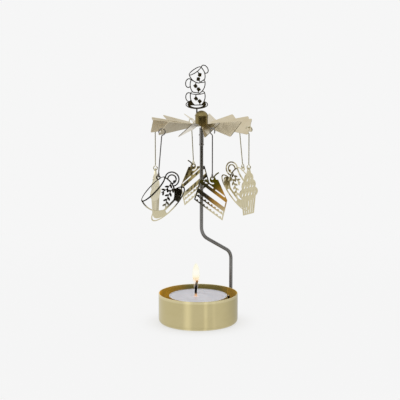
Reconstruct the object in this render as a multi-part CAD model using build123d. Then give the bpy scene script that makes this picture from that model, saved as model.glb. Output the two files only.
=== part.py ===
from build123d import *
import os
from math import acos, asin, atan2, cos, degrees, radians, sin, sqrt, tan

# Candle carousel: the warm air of a tealight turns a bladed wheel that carries six hanging charms.
# Millimetres, +Z up, origin under the middle of the holder cup's base, front towards -Y.

# Holder cup, drawn from sheet brass
CUP_DIAMETER = 52.0
CUP_HEIGHT = 19.5
CUP_WALL = 0.5
CUP_BASE_BEND = 2.5
CUP_RIM_ROUND = 0.15

# Belt loop pressed out of the cup's wall, which holds the foot of the rod
LOOP_MIDDLE_HEIGHT = 10.0
LOOP_HEIGHT = 6.8
LOOP_SLIT = 0.6
LOOP_CLEARANCE = 0.1

# Bent steel rod
ROD_DIAMETER = 2.3
ROD_AZIMUTH = 35.0
ROD_WALL_GAP = 0.05
ROD_FOOT_HEIGHT = 3.0
ROD_REACH = 24.5
ROD_LOWER_CORNER_HEIGHT = 43.5
ROD_UPPER_CORNER_HEIGHT = 57.6
ROD_LOWER_BEND = 7.5
ROD_UPPER_BEND = 9.5
ROD_TOP_HEIGHT = 122.0
ROD_END_CHAMFER = 0.3

# Sleeve that joins the needle to the rod
SLEEVE_DIAMETER = 2.8
SLEEVE_LENGTH = 11.4
SLEEVE_OVERLAP = 5.4
SLEEVE_BEAD_HEIGHT = 1.0
SLEEVE_BEAD_STEP = 0.2
SLEEVE_FIT = 0.02
CRIMP_RADIUS = 0.45
CRIMP_ABOVE_ROD = 1.4

# Pivot needle and the hard seat that turns on its point
NEEDLE_DIAMETER = 1.2
NEEDLE_LENGTH = 15.86
NEEDLE_POINT_ANGLE = 40.0
SEAT_DIAMETER = 2.6
SEAT_HEIGHT = 1.4
SEAT_DIMPLE_DEPTH = 0.7
SEAT_DIMPLE_ANGLE = 90.0
SEAT_PLAY = 0.03
SEAT_FIT = 0.02

# Bearing dome, which carries the wheel on the seat
DOME_DIAMETER = 8.2
DOME_WALL = 0.35
DOME_BARREL = 5.95
DOME_CAP_RISE = 3.0
DOME_BEAD = 0.3
VENT_DIAMETER = 0.8
VENT_DROP = 1.75
VENT_OFFSET = -0.95
NECK_DIAMETER = 6.0
NECK_LIP = 0.6
NECK_FIT = 0.02

# Bladed wheel, cut from thin sheet with each blade twisted to the same pitch
SHEET = 0.35
HUB_DIAMETER = 12.0
BLADE_COUNT = 12
BLADE_TIP_RADIUS = 32.4
BLADE_TIP_CHORD = 13.7
BLADE_ROOT_CHORD = 2.4
BLADE_ROOT_SINK = 1.2
BLADE_TWIST_START = 0.3
BLADE_TWIST_LENGTH = 4.2
BLADE_TWIST_STEP_COUNT = 4
BLADE_PITCH = 42.0
BLADE_CORNER = 0.8
FIRST_BLADE_AZIMUTH = -19.5
BLADE_COUNT_PER_HANGER = 2

# Wire hangers, each hooked through a hole near the tip of a blade
WIRE_DIAMETER = 0.7
HOOK_RADIUS = 2.0
HOOK_BEND = 1.2
HOOK_END_ANGLE = -35.0
HOOK_PLAY = 0.3
HOOK_HOLE_CHORD = -1.2
HOOK_LIP = 0.8
HOOK_HOLE_CLEARANCE = 0.7
EYE_RADIUS = 1.3
EYE_BEND = 0.9
EYE_END_ANGLE = 420.0

# Etched charms, drawn upright in their own plane and hung by an eyelet
PLATE = 0.4
LINE = 0.8
EYELET_CLEARANCE = 0.4
EYELET_RIM = 0.75
EYELET_PLAY = 0.05

# Teacup charm
CUP_RIM_HALF = 11.2
CUP_RIM_RISE = 2.7
CUP_BOWL_DEPTH = 14.6
CUP_FOOT_HALF = 4.6
CUP_BOWL_BULGE = 3.2
CUP_HANDLE_RADIUS = 4.9
CUP_HANDLE_BAND = 1.8
CUP_HANDLE_OUT = 2.2
CUP_HANDLE_DROP = 4.2
CUP_HANDLE_CURL = 1.0
CUP_EYELET_ANGLE = 46.0
CUP_EYELET_LIFT = 0.85
CUP_TILT = 46.5
SAUCER_HALF = 15.3
SAUCER_RISE = 4.7
SAUCER_ABOVE_FOOT = 1.4
SAUCER_GAP_START = -107.0
SAUCER_GAP_END = -72.0
SAUCER_SLIT_LIFT = 0.4
SPRIG_WIDTH = 0.5
LONG_SPRIG_WALL_SHARE = 0.5
LONG_SPRIG_FOOT = -3.4
LONG_SPRIG_SAG = -1.4
LONG_SPRIG_LEAF_COUNT = 9
SHORT_SPRIG_WALL_SHARE = 0.3
SHORT_SPRIG_END = (2.2, -5.2)
SHORT_SPRIG_SAG = 0.9
SHORT_SPRIG_LEAF_COUNT = 5
LEAF_LENGTH = 2.7
LEAF_WIDTH = 1.25
LEAF_SPREAD = 48.0

# Cake charm
CAKE_WIDTH = 22.0
CAKE_HEIGHT = 12.0
CAKE_LEFT_SLANT = 4.6
CAKE_RIGHT_SLANT = 5.4
CAKE_APEX = (9.3, 6.9)
CAKE_BERRY_RADIUS = 2.0
CAKE_BERRY_SHARE = 0.71
CAKE_SHADOW_SWEEP = 110.0
CAKE_STALK = (0.4, 5.8)
CAKE_EYELET_SHIFT = (-0.7, 0.4)
CAKE_ICING = 1.6
CAKE_FILLING_TOP = 4.6
CAKE_FILLING_BAND = 2.5
CAKE_CRUMB_BAND = 1.3
CAKE_TOOTH_RADIUS = 0.7
CAKE_TOOTH_COUNT = 8

# Cupcake charm
CUPCAKE_TIERS = ((0.4, 10.4, 4.4), (5.2, 7.9, 4.3), (9.5, 5.1, 3.8))
CUPCAKE_TIP_HEIGHT = 15.2
CUPCAKE_TIP_HALF = 3.6
CUPCAKE_CASE_TOP_HALF = 8.3
CUPCAKE_CASE_FOOT_HALF = 6.0
CUPCAKE_CASE_HEIGHT = 13.6
CUPCAKE_RIB_COUNT = 5
CUPCAKE_SLOT = 1.0
CUPCAKE_DROP_COUNTS = (5, 4, 2)
CUPCAKE_DROP_LENGTH = 4.0
CUPCAKE_DROP_WIDTH = 1.5
CUPCAKE_DROP_LEAN = -28.0
CUPCAKE_DROP_SINK = 1.2

# Topper figure, three stacked cups on a saucer, held by its stem in the dome
TOPPER_STEM_WIDTH = 0.9
TOPPER_STEM_WALL_GAP = 0.3
TOPPER_STEM_FIT = 0.03
TOPPER_FOOT_HEIGHT = 1.2
TOPPER_LINE = 0.6
TOPPER_RIM_HALF = 4.7
TOPPER_RIM_RISE = 1.4
TOPPER_BOWL_DEPTH = 8.2
TOPPER_FOOT_HALF = 2.3
TOPPER_BOWL_BULGE = 1.3
TOPPER_HANDLE_HALF = (2.2, 3.1)
TOPPER_HANDLE_HEIGHT = -2.6
TOPPER_SAUCER_HALF = 7.2
TOPPER_SAUCER_RISE = 2.9
TOPPER_SAUCER_GAP = (4.3, 1.9)
TOPPER_LOZENGE_WIDTH = 3.0
TOPPER_LOZENGE_HEIGHT = 3.2
TOPPER_LOZENGE_SHIFT = (1.2, 0.95)
TOPPER_LEAN_ANGLES = (2.0, -9.0, 34.0)
TOPPER_HANDLE_SIDES = (-1, -1, 1)
TOPPER_CUP_RISE = 2.3
TOPPER_BOTTOM_CUP_SHIFT = 0.8
TOPPER_MIDDLE_CUP_SHIFT = -0.4
TOPPER_TOP_CUP_SHIFT = 3.4
TOPPER_MIDDLE_CUP_SINK = 0.3
TOPPER_TOP_CUP_SINK = 1.1

# Tealight
TEALIGHT_DIAMETER = 38.0
TEALIGHT_HEIGHT = 17.2
TEALIGHT_WALL = 0.3
TEALIGHT_SEAT_GAP = 0.02
WAX_BELOW_RIM = 0.25
WAX_FIT = 0.02
SUSTAINER_DIAMETER = 12.0
SUSTAINER_THICKNESS = 0.3
SUSTAINER_TUBE_DIAMETER = 2.6
SUSTAINER_TUBE_HEIGHT = 3.0
WICK_DIAMETER = 1.5
WICK_FIT = 0.03
WICK_LEAN = (-2.2, 0.0)
WICK_KNEE_RISE = 4.2
WICK_TIP = (-0.6, 0.4)
WICK_TIP_RISE = 10.2
WICK_BEND = 4.0

# Hanging order around the wheel: charm, number, the turn of its plate about the vertical, the turn of its hook from
# the blade's direction, the length of its wire from the middle of the hook's ring to the charm, and the angle by which
# the wire stands outwards in its hole
HANGING = (
    ("cupcake_charm", 1, 52.0, 0.0, 25.4, 0.0),
    ("teacup_charm", 1, 142.0, -35.0, 28.6, 5.5),
    ("cake_charm", 1, 200.0, 34.0, 29.2, -4.0),
    ("cupcake_charm", 2, 252.0, 0.0, 28.8, 0.0),
    ("teacup_charm", 2, -15.0, -35.0, 28.6, 5.0),
    ("cake_charm", 2, 9.0, 34.0, 29.2, 0.0),
)

# Places that follow from the sizes
ROD_FOOT_REACH = CUP_DIAMETER / 2 + ROD_WALL_GAP + ROD_DIAMETER / 2
NEEDLE_REACH = ROD_FOOT_REACH - ROD_REACH
NEEDLE_X = NEEDLE_REACH * cos(radians(ROD_AZIMUTH))
NEEDLE_Y = NEEDLE_REACH * sin(radians(ROD_AZIMUTH))
NEEDLE_TIP_HEIGHT = ROD_TOP_HEIGHT + NEEDLE_LENGTH
SEAT_BOTTOM = NEEDLE_TIP_HEIGHT + SEAT_PLAY - SEAT_DIMPLE_DEPTH
CAP_RADIUS = ((DOME_DIAMETER / 2) ** 2 + DOME_CAP_RISE**2) / (2 * DOME_CAP_RISE)
CAP_OVER_SEAT = sqrt((CAP_RADIUS - DOME_WALL) ** 2 - (SEAT_DIAMETER / 2) ** 2)
CAP_CENTRE = SEAT_BOTTOM + SEAT_HEIGHT + SEAT_FIT - CAP_OVER_SEAT
DOME_TOP = CAP_CENTRE + CAP_RADIUS
BEAD_HEIGHT = DOME_TOP - DOME_CAP_RISE - DOME_BEAD
DOME_BASE = BEAD_HEIGHT - DOME_BARREL
WHEEL_MIDDLE = DOME_BASE - SHEET / 2
TOPPER_STEM_OFFSET = DOME_WALL + TOPPER_STEM_WALL_GAP + TOPPER_STEM_WIDTH / 2 - DOME_DIAMETER / 2
CUP_HANDLE_CENTRE = (CUP_RIM_HALF + CUP_HANDLE_OUT, -CUP_HANDLE_DROP)
SAUCER_HEIGHT = SAUCER_ABOVE_FOOT - CUP_BOWL_DEPTH
EYELET_HOLE = WIRE_DIAMETER / 2 + EYELET_CLEARANCE
EYELET_DROP = EYELET_HOLE - WIRE_DIAMETER / 2 - EYELET_PLAY
BOTTOM = (Align.CENTER, Align.CENTER, Align.MIN)
ON_NEEDLE = Pos(NEEDLE_X, NEEDLE_Y, 0)
HOOK_HOLE = WIRE_DIAMETER / 2 + HOOK_HOLE_CLEARANCE
HOOK_HOLE_REACH = BLADE_TIP_RADIUS - HOOK_LIP - HOOK_HOLE


def upright_plane(origin, turn):
    """Vertical plane whose x axis is turned about Z and whose y axis is Z."""
    angle = radians(turn)
    return Plane(origin=origin, x_dir=(cos(angle), sin(angle), 0), z_dir=(sin(angle), -cos(angle), 0))


def tube(path, diameter):
    """Round bar along a path."""
    section = Plane(origin=path @ 0, z_dir=path % 0) * Circle(diameter / 2)
    return sweep(section, path=path)


def ellipse(x, y, half_width, half_height):
    """Ellipse with its middle at x, y."""
    return Pos(x, y) * Ellipse(half_width, half_height)


def disc(centre, radius):
    """Circle with its middle at a point."""
    return Pos(*centre) * Circle(radius)


def closed_outline(*edges):
    """Face inside a ring of edges."""
    return make_face(Curve() + list(edges))


def polygon(*points):
    """Face inside a ring of straight lines."""
    return make_face(Polyline(*points, close=True))


def holder_cup():
    """Drawn cup with the rod's belt loop pressed out of its wall."""
    outer = Cylinder(CUP_DIAMETER / 2, CUP_HEIGHT, align=BOTTOM)
    outer = fillet(outer.edges().sort_by(Axis.Z)[0], CUP_BASE_BEND)
    inner = Pos(0, 0, CUP_WALL) * Cylinder(CUP_DIAMETER / 2 - CUP_WALL, CUP_HEIGHT, align=BOTTOM)
    inner = fillet(inner.edges().sort_by(Axis.Z)[0], CUP_BASE_BEND - CUP_WALL)
    shell = outer - inner
    shell = fillet(shell.edges().group_by(Axis.Z)[-1], CUP_RIM_ROUND)

    inner_half = ROD_DIAMETER / 2 + LOOP_CLEARANCE
    outer_half = inner_half + CUP_WALL
    leg = ROD_FOOT_REACH - CUP_DIAMETER / 2 + CUP_WALL / 2
    strap_bottom = LOOP_MIDDLE_HEIGHT - LOOP_HEIGHT / 2
    to_loop = Rot(0, 0, ROD_AZIMUTH) * Pos(ROD_FOOT_REACH, 0, 0)

    def tongue(half_width, length, bottom, height):
        leg_box = Box(length, 2 * half_width, height, align=(Align.MAX, Align.CENTER, Align.MIN))
        return Pos(0, 0, bottom) * (leg_box + Cylinder(half_width, height, align=BOTTOM))

    strap = tongue(outer_half, leg, strap_bottom, LOOP_HEIGHT)
    opening = tongue(inner_half, 2 * leg, strap_bottom - LOOP_SLIT, LOOP_HEIGHT + 2 * LOOP_SLIT)
    return shell + to_loop * strap - to_loop * opening


def stand_rod():
    """Rod with two bends that brings the needle over the flame."""
    plane = upright_plane((0, 0, 0), ROD_AZIMUTH)
    path = plane * FilletPolyline(
        (ROD_FOOT_REACH, ROD_FOOT_HEIGHT),
        (ROD_FOOT_REACH, ROD_LOWER_CORNER_HEIGHT),
        (NEEDLE_REACH, ROD_UPPER_CORNER_HEIGHT),
        (NEEDLE_REACH, ROD_TOP_HEIGHT),
        radius=[ROD_LOWER_BEND, ROD_UPPER_BEND],
    )
    rod = tube(path, ROD_DIAMETER)
    return chamfer(rod.edges().group_by(Axis.Z)[0], ROD_END_CHAMFER)


def needle_sleeve():
    """Sleeve crimped over the top of the rod, bored smaller for the needle."""
    bottom = ROD_TOP_HEIGHT - SLEEVE_OVERLAP
    body = Pos(0, 0, bottom) * Cylinder(SLEEVE_DIAMETER / 2, SLEEVE_LENGTH, align=BOTTOM)
    bead = Cylinder(SLEEVE_DIAMETER / 2 + SLEEVE_BEAD_STEP, SLEEVE_BEAD_HEIGHT, align=BOTTOM)
    bead = Pos(0, 0, bottom) * fillet(bead.edges().filter_by(GeomType.CIRCLE), SLEEVE_BEAD_STEP)
    crimp = Pos(-SLEEVE_DIAMETER / 2, 0, ROD_TOP_HEIGHT + CRIMP_ABOVE_ROD) * Sphere(CRIMP_RADIUS)
    rod_bore = Cylinder(ROD_DIAMETER / 2 + SLEEVE_FIT, SLEEVE_OVERLAP + SLEEVE_FIT, align=BOTTOM)
    needle_bore = Cylinder(NEEDLE_DIAMETER / 2 + SLEEVE_FIT, SLEEVE_LENGTH, align=BOTTOM)
    bores = Pos(0, 0, bottom) * (rod_bore + needle_bore)
    return ON_NEEDLE * (body + bead + crimp - bores)


def pivot_needle():
    """Needle with a conical point."""
    point = NEEDLE_DIAMETER / 2 / tan(radians(NEEDLE_POINT_ANGLE / 2))
    shank = Cylinder(NEEDLE_DIAMETER / 2, NEEDLE_LENGTH - point, align=BOTTOM)
    tip = Cone(NEEDLE_DIAMETER / 2, 0, point, align=BOTTOM)
    needle = shank + Pos(0, 0, NEEDLE_LENGTH - point) * tip
    return ON_NEEDLE * Pos(0, 0, ROD_TOP_HEIGHT + SLEEVE_FIT / 2) * needle


def pivot_seat():
    """Hard disc with a dimple that turns on the needle's point."""
    mouth = SEAT_DIMPLE_DEPTH * tan(radians(SEAT_DIMPLE_ANGLE / 2))
    seat = Cylinder(SEAT_DIAMETER / 2, SEAT_HEIGHT, align=BOTTOM)
    seat -= Cone(mouth, 0, SEAT_DIMPLE_DEPTH, align=BOTTOM)
    return ON_NEEDLE * Pos(0, 0, SEAT_BOTTOM) * seat


def topper_stem_box(clearance):
    """Stem of the topper, from the dome's floor up past its shoulder."""
    width = TOPPER_STEM_WIDTH + 2 * clearance
    depth = PLATE + 2 * clearance
    floor = DOME_BASE + DOME_WALL + SEAT_FIT
    height = DOME_TOP + TOPPER_FOOT_HEIGHT - floor
    return Pos(TOPPER_STEM_OFFSET, 0, floor) * Box(width, depth, height, align=BOTTOM)


def bearing_dome():
    """Hollow dome with a bead, a vent and a neck rolled over under the wheel."""
    outer = DOME_DIAMETER / 2
    inner = outer - DOME_WALL
    neck = NECK_DIAMETER / 2
    throat = neck - DOME_WALL
    lip_top = DOME_BASE - SHEET - NECK_FIT
    lip_bottom = lip_top - DOME_WALL
    floor = DOME_BASE + DOME_WALL
    spring = CAP_CENTRE + sqrt((CAP_RADIUS - DOME_WALL) ** 2 - inner**2)

    def cap_arc(radius, start):
        lift = degrees(atan2(start[1] - CAP_CENTRE, start[0]))
        return CenterArc((0, CAP_CENTRE), radius, lift, 90 - lift)

    bead_ends = (outer, BEAD_HEIGHT - DOME_BEAD), (outer, BEAD_HEIGHT + DOME_BEAD)
    outside = Polyline(
        (throat, lip_bottom),
        (neck + NECK_LIP, lip_bottom),
        (neck + NECK_LIP, lip_top),
        (neck, lip_top),
        (neck, DOME_BASE),
        (outer, DOME_BASE),
        bead_ends[0],
    )
    bead = ThreePointArc(bead_ends[0], (outer + DOME_BEAD, BEAD_HEIGHT), bead_ends[1])
    crown = cap_arc(CAP_RADIUS, bead_ends[1])
    through = Line((0, DOME_TOP), (0, DOME_TOP - DOME_WALL))
    inner_crown = cap_arc(CAP_RADIUS - DOME_WALL, (inner, spring))
    inside = Polyline((inner, spring), (inner, floor), (throat, floor), (throat, lip_bottom))
    profile = closed_outline(outside, bead, crown, through, inner_crown, inside)
    shell = revolve(Plane.XZ * profile, Axis.Z)
    vent = Pos(VENT_OFFSET, 0, BEAD_HEIGHT - VENT_DROP) * Rot(90, 0, 0) * Cylinder(
        VENT_DIAMETER / 2, DOME_DIAMETER, align=BOTTOM
    )
    return ON_NEEDLE * (shell - vent - topper_stem_box(TOPPER_STEM_FIT))


def wheel_frame(azimuth):
    """Frame of one blade: x along the blade, y against the clock, z up."""
    return Pos(NEEDLE_X, NEEDLE_Y, WHEEL_MIDDLE) * Rot(0, 0, azimuth)


def blade_chord(radius):
    """Width of a blade at a radius."""
    root = HUB_DIAMETER / 2
    share = max(0.0, (radius - root) / (BLADE_TIP_RADIUS - root))
    return BLADE_ROOT_CHORD + share * (BLADE_TIP_CHORD - BLADE_ROOT_CHORD)


def blade_section(radius, pitch):
    """Cross-section of a blade, its high edge on the side against the clock."""
    angle = radians(pitch)
    plane = Plane(origin=(radius, 0, 0), x_dir=(0, cos(angle), sin(angle)), z_dir=(1, 0, 0))
    return plane * Rectangle(blade_chord(radius), SHEET)


def blade():
    """One blade along the x axis, twisted near its root."""
    twist_start = HUB_DIAMETER / 2 + BLADE_TWIST_START
    sections = [blade_section(HUB_DIAMETER / 2 - BLADE_ROOT_SINK, 0)]
    for step in range(BLADE_TWIST_STEP_COUNT + 1):
        share = step / BLADE_TWIST_STEP_COUNT
        sections.append(blade_section(twist_start + share * BLADE_TWIST_LENGTH, share * BLADE_PITCH))
    sections.append(blade_section(BLADE_TIP_RADIUS, BLADE_PITCH))
    body = loft(sections, ruled=True)
    tip_edges = body.edges().group_by(Axis.X)[-1]
    corners = [edge for edge in tip_edges if edge.length < 2 * SHEET]
    return fillet(corners, BLADE_CORNER)


def hook_hole():
    """Drill for one hook's hole, square to the blade."""
    pitch = radians(BLADE_PITCH)
    plane = Plane(
        origin=(HOOK_HOLE_REACH, HOOK_HOLE_CHORD * cos(pitch), HOOK_HOLE_CHORD * sin(pitch)),
        x_dir=(1, 0, 0),
        z_dir=(0, -sin(pitch), cos(pitch)),
    )
    return plane * Cylinder(HOOK_HOLE, 4 * SHEET)


def blade_azimuth(number):
    """Direction of a blade from the wheel's middle."""
    return FIRST_BLADE_AZIMUTH + number * 360 / BLADE_COUNT


def blade_wheel():
    """Hub disc with its ring of blades and the hooks' holes."""
    hub = wheel_frame(0) * Cylinder(HUB_DIAMETER / 2, SHEET)
    one_blade = blade()
    blades = [wheel_frame(blade_azimuth(number)) * one_blade for number in range(BLADE_COUNT)]
    wheel = hub + blades
    drill = hook_hole()
    drills = [wheel_frame(blade_azimuth(n)) * drill for n in range(0, BLADE_COUNT, BLADE_COUNT_PER_HANGER)]
    bore = wheel_frame(0) * Cylinder(NECK_DIAMETER / 2 + NECK_FIT, 2 * SHEET)
    return wheel - drills - bore


def hook_centre(hook_turn):
    """Middle of a hook's ring in its blade's frame, hung on the lip between its hole and the blade's tip."""
    pitch = radians(BLADE_PITCH)
    turn = radians(hook_turn)
    slope = abs(sin(turn)) * tan(pitch)
    to_hole_edge = HOOK_HOLE / sqrt(cos(turn) ** 2 + (sin(turn) / cos(pitch)) ** 2)
    to_tip = (HOOK_LIP + HOOK_HOLE) / cos(turn)
    middle = (to_hole_edge + to_tip) / 2
    half = (to_tip - to_hole_edge) / 2
    half_sheet = SHEET / 2 / sqrt(cos(pitch) ** 2 + (sin(pitch) * sin(turn)) ** 2)
    incline = sqrt(1 + slope**2)
    across = half - half_sheet * slope / incline
    above = half * slope + half_sheet / incline
    reach = HOOK_RADIUS - WIRE_DIAMETER / 2 - HOOK_PLAY
    drop = sqrt(reach**2 - across**2) - above
    sideways = HOOK_HOLE_CHORD * cos(pitch) + middle * sin(turn)
    return HOOK_HOLE_REACH + middle * cos(turn), sideways, sideways * tan(pitch) - drop


def hook_point(azimuth, hook_turn, height_above_centre):
    """Point on the vertical line through a hook's ring."""
    along, across, above = hook_centre(hook_turn)
    local = Pos(along, across, above + height_above_centre)
    return (wheel_frame(azimuth) * local).position


def hanger(azimuth, plate_turn, hook_turn, length):
    """Wire with an open hook above and a closed eye below, turned to its charm's plate."""
    hook_plane = upright_plane(hook_point(azimuth, hook_turn, 0), azimuth + hook_turn)
    reach = HOOK_RADIUS + HOOK_BEND
    join = 360 - degrees(acos(-HOOK_BEND / reach))
    ring = CenterArc((0, 0), HOOK_RADIUS, HOOK_END_ANGLE, join - HOOK_END_ANGLE)
    bend_middle = (reach * cos(radians(join)), reach * sin(radians(join)))
    bend = CenterArc(bend_middle, HOOK_BEND, join - 180, 180 - join)

    eye_plane = upright_plane(hook_point(azimuth, hook_turn, EYE_RADIUS - length), plate_turn + 90)
    eye_reach = EYE_RADIUS + EYE_BEND
    eye_join = degrees(acos(-EYE_BEND / eye_reach))
    eye_bend_middle = (eye_reach * cos(radians(eye_join)), eye_reach * sin(radians(eye_join)))
    eye_bend = CenterArc(eye_bend_middle, EYE_BEND, 0, eye_join - 180)
    eye = CenterArc((0, 0), EYE_RADIUS, eye_join, EYE_END_ANGLE - eye_join)

    upper = [hook_plane * ring, hook_plane * bend]
    lower = [eye_plane * eye_bend, eye_plane * eye]
    shaft = Line(upper[-1] @ 1, lower[0] @ 0)
    runs = [*upper, shaft, *lower]
    return tube(Wire([run.edge() for run in runs]), WIRE_DIAMETER)


def eyelet(drawing, centre):
    """Drawing with a round eyelet at a point."""
    ring = disc(centre, EYELET_HOLE + EYELET_RIM)
    return drawing + ring - disc(centre, EYELET_HOLE)


def bowl_face(rim_half, depth, foot_half, bulge):
    """Cup's bowl below its rim."""
    return closed_outline(
        Line((-rim_half, 0), (rim_half, 0)),
        SagittaArc((rim_half, 0), (foot_half, -depth), bulge),
        Line((foot_half, -depth), (-foot_half, -depth)),
        SagittaArc((-foot_half, -depth), (-rim_half, 0), bulge),
    )


def sprig(start, end, sag, leaves):
    """Leafy stem between two points, with its leaves on alternate sides."""
    stem = SagittaArc(start, end, sag)
    drawing = trace(stem, SPRIG_WIDTH)
    for number in range(leaves):
        share = (number + 1) / (leaves + 1)
        side = 1 if number % 2 == 0 else -1
        heading = stem % share
        angle = degrees(atan2(heading.Y, heading.X)) + side * LEAF_SPREAD
        leaf = Pos(LEAF_LENGTH / 2, 0) * Ellipse(LEAF_LENGTH / 2, LEAF_WIDTH / 2)
        root = stem @ share
        drawing += Pos(root.X, root.Y) * Rot(0, 0, angle) * leaf
    return drawing


def teacup_drawing():
    """Cup and saucer with leafy sprigs, and the middle of its eyelet on the back of the rim."""
    bowl = bowl_face(CUP_RIM_HALF, CUP_BOWL_DEPTH, CUP_FOOT_HALF, CUP_BOWL_BULGE)
    rim = ellipse(0, 0, CUP_RIM_HALF, CUP_RIM_RISE)
    saucer = ellipse(0, SAUCER_HEIGHT, SAUCER_HALF, SAUCER_RISE)
    handle = disc(CUP_HANDLE_CENTRE, CUP_HANDLE_RADIUS)
    cup = bowl + rim

    mouth = ellipse(0, LINE / 4, CUP_RIM_HALF - LINE, CUP_RIM_RISE - LINE)
    inside = offset(bowl, amount=-LINE) - rim
    wall = SagittaArc((CUP_RIM_HALF, 0), (CUP_FOOT_HALF, -CUP_BOWL_DEPTH), CUP_BOWL_BULGE)
    foot_end = (LONG_SPRIG_FOOT, LINE / 2 - CUP_BOWL_DEPTH)
    inside -= sprig(wall @ LONG_SPRIG_WALL_SHARE, foot_end, LONG_SPRIG_SAG, LONG_SPRIG_LEAF_COUNT)
    inside -= sprig(wall @ SHORT_SPRIG_WALL_SHARE, SHORT_SPRIG_END, SHORT_SPRIG_SAG, SHORT_SPRIG_LEAF_COUNT)
    band_outer = CUP_HANDLE_RADIUS - LINE
    band_inner = CUP_HANDLE_RADIUS - CUP_HANDLE_BAND
    band = disc(CUP_HANDLE_CENTRE, band_outer) - disc(CUP_HANDLE_CENTRE, band_inner)
    loop = disc(CUP_HANDLE_CENTRE, band_inner - LINE)
    loop -= disc((CUP_HANDLE_CENTRE[0], CUP_HANDLE_CENTRE[1] - band_inner + LINE), CUP_HANDLE_CURL)
    slit = ellipse(0, SAUCER_HEIGHT, SAUCER_HALF - LINE, SAUCER_RISE - LINE)
    slit -= ellipse(0, SAUCER_HEIGHT + SAUCER_SLIT_LIFT, SAUCER_HALF - 3 * LINE, SAUCER_RISE)
    gap_ends = [
        (2 * SAUCER_HALF * cos(radians(angle)), 2 * SAUCER_HALF * sin(radians(angle)))
        for angle in (SAUCER_GAP_START, SAUCER_GAP_END)
    ]
    gap = ellipse(0, SAUCER_HEIGHT, SAUCER_HALF - LINE, SAUCER_RISE - LINE)
    gap &= polygon((0, 0), *gap_ends)
    gap -= offset(bowl, amount=LINE / 2)

    drawing = cup + saucer + handle
    drawing = drawing - mouth - inside - (band - cup) - (loop - cup) - (slit - cup) - gap
    angle = radians(CUP_EYELET_ANGLE)
    centre = (CUP_RIM_HALF * cos(angle), CUP_RIM_RISE * sin(angle) + CUP_EYELET_LIFT)
    return eyelet(drawing, centre), centre


def cake_edge(depth):
    """Left and right ends of the cut face at a depth below its top edge."""
    share = depth / CAKE_HEIGHT
    return CAKE_LEFT_SLANT * share, CAKE_WIDTH + CAKE_RIGHT_SLANT * share


def cake_strip(top, bottom, margin):
    """Strip across the cut face between two depths."""
    left_top, right_top = cake_edge(top)
    left_bottom, right_bottom = cake_edge(bottom)
    return polygon(
        (left_top + margin, -top),
        (right_top - margin, -top),
        (right_bottom - margin, -bottom),
        (left_bottom + margin, -bottom),
    )


def row_of(count, left, right, height, shape):
    """Copies of a shape spread evenly along a row."""
    step = (right - left) / count
    return Sketch() + [Pos(left + (number + 0.5) * step, height) * shape for number in range(count)]


def toothed_strip(top, bottom):
    """Strip across the cut face with a row of round teeth along its lower edge."""
    left, right = cake_edge(bottom)
    teeth = row_of(CAKE_TOOTH_COUNT, left + LINE, right - LINE, -bottom, Circle(CAKE_TOOTH_RADIUS))
    return cake_strip(top, bottom, LINE) - teeth


def cake_drawing():
    """Slice of layer cake with a berry on its left slope, and the middle of the eyelet in the berry."""
    front = cake_strip(0, CAKE_HEIGHT, 0)
    top = polygon((0, 0), (CAKE_WIDTH, 0), CAKE_APEX)
    berry_middle = (CAKE_BERRY_SHARE * CAKE_APEX[0], CAKE_BERRY_SHARE * CAKE_APEX[1])
    berry = disc(berry_middle, CAKE_BERRY_RADIUS)
    stalk_end = (berry_middle[0] + CAKE_STALK[0], berry_middle[1] + CAKE_STALK[1])
    stalk = trace(SagittaArc(berry_middle, stalk_end, CAKE_BERRY_RADIUS / 3), LINE)
    shadow_start = 270 - CAKE_SHADOW_SWEEP / 2
    shadow_line = CenterArc(berry_middle, CAKE_BERRY_RADIUS + LINE / 2, shadow_start, CAKE_SHADOW_SWEEP)
    shadow = trace(shadow_line, LINE)

    slot_length = CAKE_WIDTH / 2 - 4 * LINE
    icing = row_of(2, 2 * LINE, CAKE_WIDTH - 2 * LINE, LINE, SlotOverall(slot_length, LINE))
    cream = cake_strip(CAKE_ICING, CAKE_FILLING_TOP, LINE)
    band_bottom = CAKE_FILLING_TOP + CAKE_FILLING_BAND
    crumb_bottom = band_bottom + CAKE_CRUMB_BAND
    crumb = toothed_strip(band_bottom, crumb_bottom)
    base = toothed_strip(crumb_bottom + LINE, CAKE_HEIGHT - LINE)

    drawing = front + top + berry + stalk - shadow - icing - cream - crumb - base
    centre = (berry_middle[0] + CAKE_EYELET_SHIFT[0], berry_middle[1] + CAKE_EYELET_SHIFT[1])
    return eyelet(drawing, centre), centre


def drop_shape():
    """Drop with its point upwards."""
    radius = CUPCAKE_DROP_WIDTH / 2
    point = CUPCAKE_DROP_LENGTH - radius
    lean = asin(radius / point)
    touch = (radius * cos(lean), radius * sin(lean))
    return closed_outline(
        Line((-touch[0], touch[1]), (0, point)),
        Line((0, point), touch),
        CenterArc((0, 0), radius, degrees(lean), -180 - 2 * degrees(lean)),
    )


def cupcake_rib(share):
    """Slot between two ribs of the case, at a share of its half width."""
    height, half, rise = CUPCAKE_TIERS[0]
    middle = share * (CUPCAKE_CASE_TOP_HALF - LINE)
    foot = share * (CUPCAKE_CASE_FOOT_HALF - LINE)
    top = height - rise * sqrt(1 - (middle / half) ** 2) - LINE
    bottom = LINE - CUPCAKE_CASE_HEIGHT
    slot = CUPCAKE_SLOT / 2
    return polygon((middle - slot, top), (middle + slot, top), (foot + slot, bottom), (foot - slot, bottom))


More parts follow.
